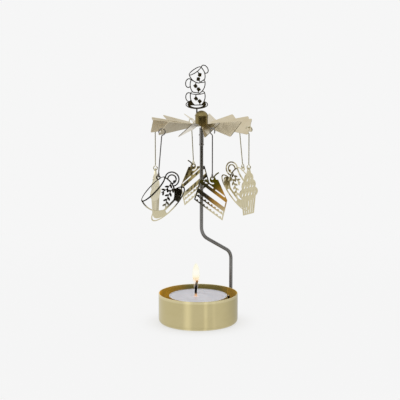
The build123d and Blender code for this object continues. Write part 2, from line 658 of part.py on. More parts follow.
def cupcake_drawing():
    """Cupcake with a swirl of frosting in a ribbed case."""
    case = polygon(
        (-CUPCAKE_CASE_TOP_HALF, 0),
        (CUPCAKE_CASE_TOP_HALF, 0),
        (CUPCAKE_CASE_FOOT_HALF, -CUPCAKE_CASE_HEIGHT),
        (-CUPCAKE_CASE_FOOT_HALF, -CUPCAKE_CASE_HEIGHT),
    )
    top_height = CUPCAKE_TIERS[-1][0]
    tip_top = EYELET_HOLE + EYELET_RIM
    tip = polygon(
        (-CUPCAKE_TIP_HALF, top_height),
        (CUPCAKE_TIP_HALF, top_height),
        (tip_top, CUPCAKE_TIP_HEIGHT),
        (-tip_top, CUPCAKE_TIP_HEIGHT),
    )
    drawing = case + tip
    for height, half, rise in CUPCAKE_TIERS:
        drawing += ellipse(0, height, half, rise)
    for number in range(CUPCAKE_RIB_COUNT):
        drawing -= cupcake_rib((number + 0.5) / CUPCAKE_RIB_COUNT * 2 - 1)
    for (height, half, rise), count in zip(CUPCAKE_TIERS, CUPCAKE_DROP_COUNTS):
        for number in range(count):
            share = (number + 0.5) / count * 2 - 1
            place = Pos(share * (half - 2 * LINE), height - CUPCAKE_DROP_SINK)
            drawing -= place * Rot(0, 0, CUPCAKE_DROP_LEAN) * drop_shape()
    centre = (0, CUPCAKE_TIP_HEIGHT)
    return eyelet(drawing, centre), centre


def stacked_cup(handle_side):
    """One cup of the topper, its foot at the origin: its outline and what is cut out of it."""
    lift = Pos(0, TOPPER_BOWL_DEPTH)
    bowl = bowl_face(TOPPER_RIM_HALF, TOPPER_BOWL_DEPTH, TOPPER_FOOT_HALF, TOPPER_BOWL_BULGE)
    rim = ellipse(0, 0, TOPPER_RIM_HALF, TOPPER_RIM_RISE)
    handle_wide, handle_tall = TOPPER_HANDLE_HALF
    handle_x = handle_side * (TOPPER_RIM_HALF + handle_wide / 2)
    handle = ellipse(handle_x, TOPPER_HANDLE_HEIGHT, handle_wide, handle_tall)
    cup = bowl + rim
    across, tall = TOPPER_LOZENGE_WIDTH / 2, TOPPER_LOZENGE_HEIGHT / 2
    top, bottom = -TOPPER_RIM_RISE, TOPPER_LINE / 2 - TOPPER_BOWL_DEPTH
    middle = (top + bottom) / 2
    aside, apart = TOPPER_LOZENGE_SHIFT
    upper = (aside * handle_side, middle + apart)
    lower = (-aside * handle_side, middle - apart)
    lozenges = trace(Polyline((upper[0], top), upper, lower, (lower[0], bottom)), TOPPER_LINE)
    for x, y in (upper, lower):
        lozenges += polygon((x, y + tall), (x + across, y), (x, y - tall), (x - across, y))
    mouth = ellipse(0, 0, TOPPER_RIM_HALF - TOPPER_LINE, TOPPER_RIM_RISE - TOPPER_LINE)
    inside = offset(bowl, amount=-TOPPER_LINE) - rim - lozenges
    loop = ellipse(handle_x, TOPPER_HANDLE_HEIGHT, handle_wide - TOPPER_LINE, handle_tall - TOPPER_LINE) - cup
    return lift * (cup + handle), lift * (mouth + inside + loop)


def topper_drawing():
    """Three leaning cups on a saucer, standing on the top of the stem."""
    saucer_middle = TOPPER_SAUCER_RISE
    saucer = ellipse(0, saucer_middle, TOPPER_SAUCER_HALF, TOPPER_SAUCER_RISE)
    slits = ellipse(0, saucer_middle, TOPPER_SAUCER_HALF - TOPPER_LINE, TOPPER_SAUCER_RISE - TOPPER_LINE)
    slits -= ellipse(0, saucer_middle, TOPPER_SAUCER_HALF - 2 * TOPPER_LINE, TOPPER_SAUCER_RISE)
    gap_half, gap_depth = TOPPER_SAUCER_GAP
    gap = ellipse(0, saucer_middle, gap_half, gap_depth)
    gap &= Pos(0, TOPPER_CUP_RISE) * Rectangle(2 * gap_half, 2 * gap_depth, align=(Align.CENTER, Align.MAX))
    drawing = saucer - slits - gap
    shifts = (TOPPER_BOTTOM_CUP_SHIFT, TOPPER_MIDDLE_CUP_SHIFT, TOPPER_TOP_CUP_SHIFT)
    sinks = (0, TOPPER_MIDDLE_CUP_SINK, TOPPER_TOP_CUP_SINK)
    cups = zip(TOPPER_LEAN_ANGLES, shifts, sinks, TOPPER_HANDLE_SIDES)
    for number, (lean, shift, sink, handle_side) in enumerate(cups):
        place = Pos(shift, TOPPER_CUP_RISE + number * TOPPER_BOWL_DEPTH - sink) * Rot(0, 0, lean)
        solid, cut = stacked_cup(handle_side)
        drawing = drawing - place * solid + place * (solid - cut)
    return drawing


def topper_figure():
    """Topper plate on its stem."""
    top = DOME_TOP + TOPPER_FOOT_HEIGHT
    plane = upright_plane((TOPPER_STEM_OFFSET, 0, top - TOPPER_LINE / 2), 0)
    plate = plane * extrude(topper_drawing(), PLATE / 2, both=True)
    return ON_NEEDLE * (plate + topper_stem_box(0))


DRAWINGS = {"teacup_charm": teacup_drawing, "cake_charm": cake_drawing, "cupcake_charm": cupcake_drawing}
TILTS = {"teacup_charm": CUP_TILT}


def charm(kind, hanging_point, plate_turn):
    """Charm hung from its hanger's eye, plumb unless its kind has a tilt of its own."""
    drawing, centre = DRAWINGS[kind]()
    plate = Pos(-centre[0], -centre[1]) * extrude(drawing, PLATE / 2, both=True)
    balance = plate.center(CenterOf.MASS)
    tilt = TILTS.get(kind, -90 - degrees(atan2(balance.Y, balance.X)))
    plane = upright_plane(hanging_point - Vector(0, 0, EYELET_DROP), plate_turn)
    return plane * Rot(0, 0, tilt) * plate, tilt


def tealight_floor():
    """Height of the tealight's underside."""
    return CUP_WALL + TEALIGHT_SEAT_GAP


def wax_top():
    """Height of the wax."""
    return tealight_floor() + TEALIGHT_HEIGHT - WAX_BELOW_RIM


def tealight_case():
    """Thin aluminium case."""
    outer = Cylinder(TEALIGHT_DIAMETER / 2, TEALIGHT_HEIGHT, align=BOTTOM)
    inner = Cylinder(TEALIGHT_DIAMETER / 2 - TEALIGHT_WALL, TEALIGHT_HEIGHT, align=BOTTOM)
    return Pos(0, 0, tealight_floor()) * (outer - Pos(0, 0, TEALIGHT_WALL) * inner)


def wick_foot():
    """Height of the wick's lower end."""
    return tealight_floor() + TEALIGHT_WALL + WAX_FIT + SUSTAINER_THICKNESS + WICK_FIT


def wick_path():
    """Line of the wick through the wax and above it."""
    knee = (*WICK_LEAN, wax_top() + WICK_KNEE_RISE)
    tip = (*WICK_TIP, wax_top() + WICK_TIP_RISE)
    tube_top = (0, 0, wick_foot() + SUSTAINER_TUBE_HEIGHT)
    return FilletPolyline((0, 0, wick_foot()), tube_top, knee, tip, radius=[WICK_BEND, WICK_BEND])


def tealight_wick():
    """Wick that leans out of the wax."""
    return tube(wick_path(), WICK_DIAMETER)


def sustainer_blank(grow):
    """Foot plate and tube that hold the wick, grown by a clearance."""
    bottom = tealight_floor() + TEALIGHT_WALL + WAX_FIT - grow
    plate = Cylinder(SUSTAINER_DIAMETER / 2 + grow, SUSTAINER_THICKNESS + 2 * grow, align=BOTTOM)
    neck_height = SUSTAINER_THICKNESS + SUSTAINER_TUBE_HEIGHT + 2 * grow
    neck = Cylinder(SUSTAINER_TUBE_DIAMETER / 2 + grow, neck_height, align=BOTTOM)
    return Pos(0, 0, bottom) * (plate + neck)


def wick_sustainer():
    """Steel foot that stands on the case's floor and grips the wick."""
    return sustainer_blank(0) - tube(wick_path(), WICK_DIAMETER + 2 * WICK_FIT)


def tealight_wax():
    """Wax around the wick and its foot."""
    bottom = tealight_floor() + TEALIGHT_WALL + WAX_FIT
    wax = Pos(0, 0, bottom) * Cylinder(
        TEALIGHT_DIAMETER / 2 - TEALIGHT_WALL - WAX_FIT, wax_top() - bottom, align=BOTTOM
    )
    return wax - sustainer_blank(WAX_FIT) - tube(wick_path(), WICK_DIAMETER + 2 * WICK_FIT)


def build():
    """All pieces by name, and the axes of the joints."""
    pieces = {
        "holder_cup": holder_cup(),
        "stand_rod": stand_rod(),
        "needle_sleeve": needle_sleeve(),
        "pivot_needle": pivot_needle(),
        "pivot_seat": pivot_seat(),
        "bearing_dome": bearing_dome(),
        "blade_wheel": blade_wheel(),
        "topper_figure": topper_figure(),
        "tealight_case": tealight_case(),
        "tealight_wax": tealight_wax(),
        "tealight_wick": tealight_wick(),
        "wick_sustainer": wick_sustainer(),
    }
    axes = {}
    for number, (kind, copy, plate_turn, hook_turn, length, swing) in enumerate(HANGING):
        azimuth = blade_azimuth(number * BLADE_COUNT_PER_HANGER)
        hook_middle = hook_point(azimuth, hook_turn, 0)
        outward = Axis(hook_middle, upright_plane((0, 0, 0), azimuth + hook_turn - 90).x_dir)
        hanging_point = hook_middle + Vector(0, 0, -length).rotate(outward, swing)
        wire = hanger(azimuth, plate_turn, hook_turn, length)
        pieces[f"hanger_{number + 1}"] = wire.rotate(outward, swing)
        pieces[f"{kind}_{copy}"], tilt = charm(kind, hanging_point, plate_turn)
        face = upright_plane((0, 0, 0), plate_turn).z_dir
        axes[f"hanger_{number + 1}"] = (hook_middle, outward.direction)
        axes[f"{kind}_{copy}"] = (hanging_point, face)
        print(f"{kind}_{copy} hangs at a tilt of {tilt:.1f} degrees, its wire stands out by {swing:.1f} degrees")
    return pieces, axes


def main():
    """Write one file for each piece and print where the joints turn."""
    os.makedirs("parts", exist_ok=True)
    pieces, axes = build()
    for name, piece in pieces.items():
        piece.label = name
        export_step(piece, f"parts/{name}.step")
    print(f"wheel turns about {NEEDLE_X:.4f} {NEEDLE_Y:.4f}, wheel at height {WHEEL_MIDDLE:.4f}")
    for name, (point, axis) in axes.items():
        print(f"axis {name} {point.X:.4f} {point.Y:.4f} {point.Z:.4f} {axis.X:.6f} {axis.Y:.6f} {axis.Z:.6f}")


main()
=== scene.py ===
"""Candle carousel: a tealight in a brass cup turns a bladed wheel that carries etched charms on wire hangers.

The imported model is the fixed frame. This script gives each node its finish, makes the wax, the wick and the flame,
and sets up the studio. Lengths are in metres unless a name says otherwise.
"""
from __future__ import annotations

import logging
import math
from dataclasses import dataclass
from enum import Enum
from typing import Any, Iterable

import bmesh
import bpy
from mathutils import Matrix, Vector


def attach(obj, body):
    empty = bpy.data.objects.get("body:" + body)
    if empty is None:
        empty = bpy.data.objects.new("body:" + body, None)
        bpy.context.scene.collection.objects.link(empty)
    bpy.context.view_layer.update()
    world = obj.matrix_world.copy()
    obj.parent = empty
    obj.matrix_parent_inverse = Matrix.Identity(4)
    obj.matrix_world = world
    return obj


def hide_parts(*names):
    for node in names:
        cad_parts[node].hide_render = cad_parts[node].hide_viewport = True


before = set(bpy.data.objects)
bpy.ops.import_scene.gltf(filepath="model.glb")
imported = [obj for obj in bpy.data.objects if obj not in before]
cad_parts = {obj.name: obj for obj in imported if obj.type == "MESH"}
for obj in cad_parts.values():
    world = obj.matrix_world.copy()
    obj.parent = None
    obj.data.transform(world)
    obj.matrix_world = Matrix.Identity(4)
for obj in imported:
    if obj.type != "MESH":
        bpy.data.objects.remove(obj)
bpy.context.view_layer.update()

MM = 0.001
IMAGE_SIDE = 400
SENSOR_WIDTH = 36.0
NOISE_ROUGHNESS = 0.55
CORNER_SAMPLES = 4
CORNER_SPAN = (0.98, 0.75)
BLACK = (0.0, 0.0, 0.0)

Colour = tuple[float, float, float]
Point = tuple[float, float, float]
Span = tuple[float, float]
Settings = dict[str, Any]
Sockets = dict[Any, Any]

log = logging.getLogger("carousel")


class Value:
    """A number in a node tree; arithmetic on it adds Math nodes."""

    def __init__(self, nodes: NodeTree, socket: bpy.types.NodeSocket) -> None:
        """Keep the tree and the socket that gives the number.

        Args:
            nodes: Tree that further nodes go to.
            socket: Output that gives the number.
        """
        self.nodes = nodes
        self.socket = socket

    def math(self, operation: str, *terms: Value | float) -> Value:
        """Add one Math node.

        Args:
            operation: The node's operation.
            terms: Its inputs in order.

        Returns:
            The node's result.
        """
        made = self.nodes.node("ShaderNodeMath", {"operation": operation}, dict(enumerate(terms)))
        return Value(self.nodes, made.outputs[0])

    def __add__(self, other: Value | float) -> Value:
        """Sum."""
        return self.math("ADD", self, other)

    def __sub__(self, other: Value | float) -> Value:
        """Difference."""
        return self.math("SUBTRACT", self, other)

    def __rsub__(self, other: Value | float) -> Value:
        """Difference from a number."""
        return self.math("SUBTRACT", other, self)

    def __mul__(self, other: Value | float) -> Value:
        """Product."""
        return self.math("MULTIPLY", self, other)

    def __truediv__(self, other: Value | float) -> Value:
        """Quotient."""
        return self.math("DIVIDE", self, other)

    def __pow__(self, other: Value | float) -> Value:
        """Power."""
        return self.math("POWER", self, other)

    __radd__ = __add__
    __rmul__ = __mul__

    def within(self, low: float, high: float) -> Value:
        """Place between two limits, as a smooth share from 0 to 1.

        Args:
            low: Number that gives 0.
            high: Number that gives 1; it may be the smaller one.

        Returns:
            The share.
        """
        made = self.nodes.node(
            "ShaderNodeMapRange",
            {"interpolation_type": "SMOOTHSTEP"},
            {"Value": self, "From Min": low, "From Max": high, "To Min": 0.0, "To Max": 1.0},
        )
        return Value(self.nodes, made.outputs["Result"])


class NodeTree:
    """Adds nodes to the tree of a material or of the world."""

    def __init__(self, owner: bpy.types.Material | bpy.types.World) -> None:
        """Empty the owner's tree.

        Args:
            owner: Material or world that the tree belongs to.
        """
        owner.use_nodes = True
        self.tree = owner.node_tree
        self.tree.nodes.clear()

    def node(self, kind: str, settings: Settings | None = None, sockets: Sockets | None = None) -> bpy.types.Node:
        """Add one node.

        Args:
            kind: The node's type.
            settings: Properties that are set first; "stops" fills a colour ramp.
            sockets: Values or links of the inputs, by name or number.

        Returns:
            The new node.
        """
        made = self.tree.nodes.new(kind)
        for name, setting in (settings or {}).items():
            if name == "stops":
                self._set_stops(made.color_ramp, setting)
            else:
                setattr(made, name, setting)
        for key, feed in (sockets or {}).items():
            self._connect(made.inputs[key], feed)
        return made

    def _set_stops(self, ramp: bpy.types.ColorRamp, stops: Iterable[tuple[float, Colour]]) -> None:
        """Fill a colour ramp.

        Args:
            ramp: The ramp, which starts with two stops.
            stops: Positions with their colours, at least two.
        """
        for number, (position, colour) in enumerate(stops):
            stop = ramp.elements[number] if number < 2 else ramp.elements.new(position)
            stop.position = position
            stop.color = (*colour, 1.0)

    def _connect(self, socket: bpy.types.NodeSocket, feed: Any) -> None:
        """Link an input, or set its value.

        Args:
            socket: The input.
            feed: A Value, a socket, or a plain value.
        """
        if isinstance(feed, Value):
            feed = feed.socket
        if isinstance(feed, bpy.types.NodeSocket):
            self.tree.links.new(feed, socket)
        elif socket.type == "RGBA":
            socket.default_value = (*feed[:3], 1.0)
        else:
            socket.default_value = feed

    def place(self) -> bpy.types.NodeSocket:
        """Point of the surface in the object's own frame."""
        return self.node("ShaderNodeTexCoord").outputs["Object"]

    def part(self, axis: str) -> Value:
        """One coordinate of the surface point, by the axis's letter."""
        split = self.node("ShaderNodeSeparateXYZ", None, {0: self.place()})
        return Value(self, split.outputs[axis])

    def distance(self, centre: Point) -> Value:
        """Distance of the surface point from a fixed point."""
        made = self.node("ShaderNodeVectorMath", {"operation": "DISTANCE"}, {0: self.place(), 1: centre})
        return Value(self, made.outputs["Value"])

    def noise(self, size: float, stretch: Point = (1.0, 1.0, 1.0), detail: float = 3.0) -> Value:
        """Even noise from 0 to 1.

        Args:
            size: Length of one swing.
            stretch: Share of that frequency along each axis; a small one draws lines out along it.
            detail: Octaves of finer noise.

        Returns:
            The noise.
        """
        scale = tuple(share / size for share in stretch)
        mapped = self.node("ShaderNodeMapping", {"vector_type": "POINT"}, {"Vector": self.place(), "Scale": scale})
        made = self.node(
            "ShaderNodeTexNoise",
            None,
            {"Vector": mapped.outputs[0], "Scale": 1.0, "Detail": detail, "Roughness": NOISE_ROUGHNESS},
        )
        return Value(self, made.outputs[0])

    def mix(self, share: Value, low: Any, high: Any) -> bpy.types.NodeSocket:
        """Colour between two colours.

        Args:
            share: 0 gives the first colour, 1 the second.
            low: First colour or link.
            high: Second colour or link.

        Returns:
            The mixed colour.
        """
        made = self.node("ShaderNodeMix", {"data_type": "RGBA"}, {0: share, 6: low, 7: high})
        return made.outputs[2]

    def ramp(self, share: Value, stops: Iterable[tuple[float, Colour]]) -> bpy.types.NodeSocket:
        """Colour from a ramp of stops."""
        return self.node("ShaderNodeValToRGB", {"stops": stops}, {0: share}).outputs["Color"]

    def bump(self, height: Value, depth: float) -> bpy.types.NodeSocket:
        """Normal of a surface with that height, from 0 to 1, over that depth."""
        made = self.node("ShaderNodeBump", None, {"Strength": 1.0, "Distance": depth, "Height": height})
        return made.outputs[0]

    def edges(self, width: float) -> Value:
        """Mask that is high where the surface turns a sharp corner.

        Args:
            width: Length over which the corner shows.

        Returns:
            The mask from 0 to 1.
        """
        rounded = self.node("ShaderNodeBevel", {"samples": CORNER_SAMPLES}, {"Radius": width})
        plain = self.node("ShaderNodeNewGeometry")
        match = self.node(
            "ShaderNodeVectorMath", {"operation": "DOT_PRODUCT"}, {0: rounded.outputs[0], 1: plain.outputs["Normal"]}
        )
        return Value(self, match.outputs["Value"]).within(*CORNER_SPAN)

    def principled(self, sockets: Sockets) -> bpy.types.NodeSocket:
        """Shader of an ordinary surface."""
        return self.node("ShaderNodeBsdfPrincipled", None, sockets).outputs[0]

    def surface(self, shader: bpy.types.NodeSocket, kind: str = "ShaderNodeOutputMaterial") -> None:
        """Send a shader to the tree's output."""
        self.node(kind, None, {"Surface": shader})


def new_material(name: str) -> tuple[bpy.types.Material, NodeTree]:
    """Empty node material with its tree."""
    material = bpy.data.materials.new(name)
    return material, NodeTree(material)


class Grain(Enum):
    """Way the fine lines run that working the metal left on it, as shares of their frequency along x, y and z."""

    UPRIGHT = (1.0, 1.0, 0.015)
    RINGS = (0.008, 0.008, 1.0)
    EVEN = (1.0, 1.0, 1.0)


@dataclass(frozen=True)
class MetalFinish:
    """Metal sheet or wire with drawn lines, faint stains and bright worn edges."""

    name: str
    tone: Colour
    stain: Colour
    roughness: float
    grain: Grain = Grain.EVEN
    grain_size: float = 0.25 * MM
    grain_depth: float = 0.0006 * MM
    grain_detail: float = 2.0
    stain_size: float = 7.0 * MM
    stain_detail: float = 4.0
    stain_span: Span = (0.42, 0.72)
    stain_share: float = 0.6
    speck_size: float = 0.6 * MM
    roughness_swing: float = 0.05
    dull_span: Span = (0.5, 0.75)
    dull_lift: float = 0.06
    edge_width: float = 0.12 * MM
    edge_share: float = 0.7
    edge_lift: float = 1.12

    def paint_highlights(self, nodes: NodeTree, colour: Any) -> Any:
        """Colour with painted highlight bands, none on plain metal."""
        return colour

    def glow(self, nodes: NodeTree) -> Any:
        """Painted light that the surface sends out, none on plain metal."""
        return BLACK

    def material(self) -> bpy.types.Material:
        """Build the node material.

        Returns:
            The material.
        """
        material, nodes = new_material(self.name)
        lines = nodes.noise(self.grain_size, self.grain.value, self.grain_detail)
        clouds = nodes.noise(self.stain_size, detail=self.stain_detail)
        specks = nodes.noise(self.speck_size, detail=self.grain_detail)
        stained = nodes.mix(clouds.within(*self.stain_span) * self.stain_share, self.tone, self.stain)
        worn = tuple(min(1.0, part * self.edge_lift) for part in self.tone)
        colour = nodes.mix(nodes.edges(self.edge_width) * self.edge_share, self.paint_highlights(nodes, stained), worn)
        swing = (lines - 0.5) * self.roughness_swing + (specks - 0.5) * (0.5 * self.roughness_swing)
        shine = nodes.principled(
            {
                "Base Color": colour,
                "Metallic": 1.0,
                "Roughness": self.roughness + swing + clouds.within(*self.dull_span) * self.dull_lift,
                "Emission Color": self.glow(nodes),
                "Emission Strength": 1.0,
                "Normal": nodes.bump(lines, self.grain_depth),
            }
        )
        nodes.surface(shine)
        return material


@dataclass(frozen=True)
class CupFinishWithPaintedLight(MetalFinish):
    """Metal of an open cup with painted light: warm candle light on its inside, and highlight bands at its rim and
    at the bend of its base.
    """

    # Painted candle light on the inside: how far in it reaches, where it starts and how it fades deeper down
    lining_reach: Span = (25.7 * MM, 25.6 * MM)
    lining_foot: Span = (2.7 * MM, 3.7 * MM)
    lining_rise: Span = (2.7 * MM, 15.0 * MM)
    dim_share: float = 0.35
    amber: Colour = (0.20, 0.10, 0.010)
    olive: Colour = (0.055, 0.048, 0.017)
    ragged_size: float = 5.0 * MM
    ragged_stretch: Point = (1.0, 1.0, 0.4)
    ragged_width: float = 8.0 * MM
    left_span: Span = (-4.0 * MM, -18.0 * MM)
    right_span: Span = (15.0 * MM, 24.0 * MM)
    right_share: float = 0.5
    # Painted highlight bands: heights of the rim's band and of the base bend's band, their colour and strength
    rim_span: Span = (17.5 * MM, 18.2 * MM)
    bend_span: Span = (1.6 * MM, 0.96 * MM)
    bright: Colour = (0.80, 0.71, 0.42)
    highlight_share: float = 0.8

    def paint_highlights(self, nodes: NodeTree, colour: Any) -> Any:
        """Painted highlights: a bright band at the rim, and a bright band at the bend of the base.

        Args:
            nodes: Tree of the material.
            colour: Link of the plain colour.

        Returns:
            Link of the colour.
        """
        height = nodes.part("Z")
        # painted highlights where the rim and the bend of the base would mirror light
        highlight_bands = height.within(*self.rim_span) + height.within(*self.bend_span)
        return nodes.mix(highlight_bands * self.highlight_share, colour, self.bright)

    def glow(self, nodes: NodeTree) -> Any:
        """Painted candle light on the inside, amber at its sides and most of all at the left, where the flame leans.

        Args:
            nodes: Tree of the material.

        Returns:
            Link of the colour.
        """
        across, ahead, height = nodes.part("X"), nodes.part("Y"), nodes.part("Z")
        reach = (across * across + ahead * ahead) ** 0.5
        inside = reach.within(*self.lining_reach) * height.within(*self.lining_foot)
        clouds = nodes.noise(self.ragged_size, self.ragged_stretch)
        ragged = across + (clouds - 0.5) * self.ragged_width
        sides = ragged.within(*self.left_span) + ragged.within(*self.right_span) * self.right_share
        # painted candle light, amber at the sides and olive between
        lit = nodes.mix(sides, self.olive, self.amber)
        raised = height.within(*self.lining_rise)
        return nodes.mix(inside * (self.dim_share + raised * (1.0 - self.dim_share)), BLACK, lit)


@dataclass(frozen=True)
class WaxFinish:
    """Candle wax with a clear glossy pool round the wick and the warm light that the flame sends into it."""

    name: str
    tone: Colour
    cloud: Colour
    pool: Colour
    glow: Colour
    wick_foot: Point
    pool_radius: float
    glow_radius: float
    pool_core: float = 0.8
    pool_share: float = 0.6
    pool_gloss: float = 0.2
    glow_core: float = 0.15
    cloud_size: float = 4.0 * MM
    cloud_detail: float = 4.0
    cloud_span: Span = (0.4, 0.7)
    cloud_share: float = 0.5
    crystal_size: float = 0.5 * MM
    crystal_share: float = 0.12
    crystal_depth: float = 0.004 * MM
    roughness: float = 0.5
    roughness_swing: float = 0.15

    def material(self) -> bpy.types.Material:
        """Build the node material.

        Returns:
            The material.
        """
        material, nodes = new_material(self.name)
        reach = nodes.distance(self.wick_foot)
        clouds = nodes.noise(self.cloud_size, detail=self.cloud_detail)
        crystals = nodes.noise(self.crystal_size)
        melted = reach.within(self.pool_radius, self.pool_core * self.pool_radius)
        warm = reach.within(self.glow_radius, self.glow_core * self.glow_radius)
        milky = clouds.within(*self.cloud_span) * self.cloud_share + crystals * self.crystal_share
        cast = nodes.mix(milky, self.tone, self.cloud)
        shader = nodes.principled(
            {
                "Base Color": nodes.mix(melted * self.pool_share, cast, self.pool),
                "Roughness": self.roughness - melted * self.pool_gloss + (crystals - 0.5) * self.roughness_swing,
                "Coat Weight": melted * self.pool_gloss,
                "Coat Roughness": 0.08,
                "Subsurface Weight": 0.25,
                "Subsurface Radius": (1.0, 0.8, 0.7),
                "Subsurface Scale": 1.5 * MM,
                "IOR": 1.44,
                "Emission Color": nodes.mix(warm, BLACK, self.glow),
                "Emission Strength": 1.0,
                "Normal": nodes.bump(crystals * (1.0 - melted), self.crystal_depth),
            }
        )
        nodes.surface(shader)
        return material


@dataclass(frozen=True)
class WickFinish:
    """Cotton that is waxy and lit by the wax's glow below, charred above and still glows at its tip."""

    name: str
    cotton: Colour
    char: Colour
    ember: Colour
    lit: Colour
    lit_to: float
    char_from: float
    ember_from: float
    tip: float
    lit_fade: float = 2.0 * MM
    char_fade: float = 1.5 * MM
    ember_span: Span = (0.35, 0.7)
    fibre_size: float = 0.12 * MM
    fibre_stretch: Point = (1.0, 1.0, 0.4)
    fibre_depth: float = 0.08 * MM
    roughness: float = 0.7
    roughness_swing: float = 0.25

    def material(self) -> bpy.types.Material:
        """Build the node material.

        Returns:
            The material.
        """
        material, nodes = new_material(self.name)
        height = nodes.part("Z")
        fibres = nodes.noise(self.fibre_size, self.fibre_stretch)
        frayed = height + (fibres - 0.5) * self.char_fade
        burnt = frayed.within(self.char_from, self.char_from + self.char_fade)
        hot = height.within(self.ember_from, self.tip) * fibres.within(*self.ember_span)
        glow = nodes.mix(height.within(self.lit_to, self.lit_to - self.lit_fade), BLACK, self.lit)
        shader = nodes.principled(
            {
                "Base Color": nodes.mix(burnt, self.cotton, self.char),
                "Roughness": self.roughness + fibres * self.roughness_swing,
                "Specular IOR Level": 0.1,
                "Emission Color": nodes.mix(hot, glow, self.ember),
                "Emission Strength": 1.0,
                "Normal": nodes.bump(fibres, self.fibre_depth),
            }
        )
        nodes.surface(shader)
        return material


@dataclass(frozen=True)
class FlameFinish:
    """Burning gas: clear and bluish below, orange round the wick, white in the body and yellow at the tip."""

    name: str
    foot: float
    tip: float
    edge: Colour
    glow_stops: tuple[tuple[float, Colour], ...]
    body_stops: tuple[tuple[float, float], ...]
    veil_share: float
    edge_depth: Span = (0.0, 0.6)
    edge_rise: Span = (0.35, 0.6)
    flicker_size: float = 2.5 * MM
    flicker_stretch: Point = (1.0, 1.0, 0.35)
    flicker_swing: float = 0.2

    def material(self) -> bpy.types.Material:
        """Build the node material.

        Returns:
            The material.
        """
        material, nodes = new_material(self.name)
        share = (nodes.part("Z") - self.foot) / (self.tip - self.foot)
        core = Value(nodes, nodes.node("ShaderNodeAttribute", {"attribute_name": "core"}).outputs["Fac"])
        flicker = nodes.noise(self.flicker_size, self.flicker_stretch)
        grey = [(position, (level, level, level)) for position, level in self.body_stops]
        body = Value(nodes, nodes.ramp(share, grey))
        unsteady = 1.0 + (flicker - 0.5) * self.flicker_swing
        cover = body * (core * (1.0 - self.veil_share) + self.veil_share) * unsteady
        glow = nodes.ramp(share, self.glow_stops)
        rim = (1.0 - core.within(*self.edge_depth)) * share.within(*self.edge_rise)
        shader = nodes.principled(
            {
                "Base Color": BLACK,
                "Roughness": 1.0,
                "Specular IOR Level": 0.0,
                "Emission Color": nodes.mix(rim, glow, self.edge),
                "Emission Strength": 1.0,
                "Alpha": cover,
            }
        )
        nodes.surface(shader)
        return material


class Finish(Enum):
    """Metal finishes of the carousel."""

    CUP_BRASS = CupFinishWithPaintedLight(
        "satin_drawn_brass",
        tone=(0.66, 0.57, 0.31),
        stain=(0.62, 0.53, 0.27),
        roughness=0.15,
        grain=Grain.RINGS,
        grain_size=0.3 * MM,
        grain_depth=0.0003 * MM,
        stain_size=14.0 * MM,
        stain_share=0.4,
        roughness_swing=0.03,
    )
    WHEEL_BRASS = MetalFinish(
        "champagne_sheet",
        tone=(0.66, 0.58, 0.42),
        stain=(0.58, 0.49, 0.32),
        roughness=0.2,
        grain_size=0.5 * MM,
    )
    # The dome's tone is kept dark as painted shade, for the dark surroundings that it mirrors
    DOME_BRASS = MetalFinish(
        "turned_brass",
        tone=(0.26, 0.205, 0.085),
        stain=(0.22, 0.17, 0.065),
        roughness=0.32,
        grain=Grain.RINGS,
        grain_size=0.2 * MM,
    )
    PLATE_BRASS = MetalFinish(
        "polished_etched_brass",
        tone=(0.62, 0.56, 0.38),
        stain=(0.54, 0.47, 0.28),
        roughness=0.05,
        roughness_swing=0.03,
        grain_size=0.4 * MM,
        grain_depth=0.0003 * MM,
        edge_width=0.08 * MM,
    )
    TOPPER_BRASS = MetalFinish(
        "dark_etched_brass",
        tone=(0.24, 0.225, 0.19),
        stain=(0.17, 0.155, 0.125),
        roughness=0.14,
        grain_size=0.4 * MM,
        grain_depth=0.0003 * MM,
        edge_width=0.08 * MM,
    )
    ROD_STEEL = MetalFinish(
        "drawn_steel_rod",
        tone=(0.23, 0.225, 0.215),
        stain=(0.19, 0.185, 0.175),
        roughness=0.22,
        grain=Grain.UPRIGHT,
        grain_size=0.2 * MM,
        stain_size=5.0 * MM,
    )
    SLEEVE_STEEL = MetalFinish(
        "crimped_steel",
        tone=(0.36, 0.35, 0.34),
        stain=(0.24, 0.23, 0.22),
        roughness=0.28,
        grain=Grain.RINGS,
        grain_size=0.2 * MM,
        stain_size=3.0 * MM,
    )
    NEEDLE_STEEL = MetalFinish(
        "ground_steel",
        tone=(0.56, 0.56, 0.56),
        stain=(0.45, 0.45, 0.46),
        roughness=0.18,
        grain=Grain.RINGS,
        grain_size=0.08 * MM,
        stain_size=2.0 * MM,
    )
    SEAT_STEEL = MetalFinish(
        "hard_polished_steel",
        tone=(0.64, 0.64, 0.65),
        stain=(0.55, 0.55, 0.56),
        roughness=0.08,
        grain_size=0.1 * MM,
        grain_depth=0.0008 * MM,
        stain_size=1.0 * MM,
    )
    PALE_WIRE = MetalFinish(
        "plated_wire",
        tone=(0.74, 0.70, 0.53),
        stain=(0.66, 0.62, 0.45),
        roughness=0.22,
        grain=Grain.UPRIGHT,
        grain_size=0.12 * MM,
        stain_size=3.0 * MM,
    )
    DARK_WIRE = MetalFinish(
        "drawn_wire",
        tone=(0.22, 0.21, 0.20),
        stain=(0.17, 0.16, 0.15),
        roughness=0.2,
        grain=Grain.UPRIGHT,
        grain_size=0.12 * MM,
        stain_size=3.0 * MM,
    )
    CASE_FOIL = MetalFinish(
        "drawn_aluminium_foil",
        tone=(0.80, 0.80, 0.81),
        stain=(0.70, 0.70, 0.72),
        roughness=0.3,
        grain=Grain.UPRIGHT,
        grain_size=0.4 * MM,
        grain_depth=0.02 * MM,
    )
    SUSTAINER_TIN = MetalFinish(
        "tinned_sheet",
        tone=(0.62, 0.62, 0.61),
        stain=(0.50, 0.49, 0.48),
        roughness=0.3,
        stain_size=2.0 * MM,
    )


def dress(finish: Finish, *nodes: str) -> None:
    """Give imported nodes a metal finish.

    Args:
        finish: The finish that they share.
        nodes: Names of the nodes.
    """
    material = finish.value.material()
    for name in nodes:
        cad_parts[name].material_slots[0].material = material
        log.info("%s: %s", name, finish.value.name)


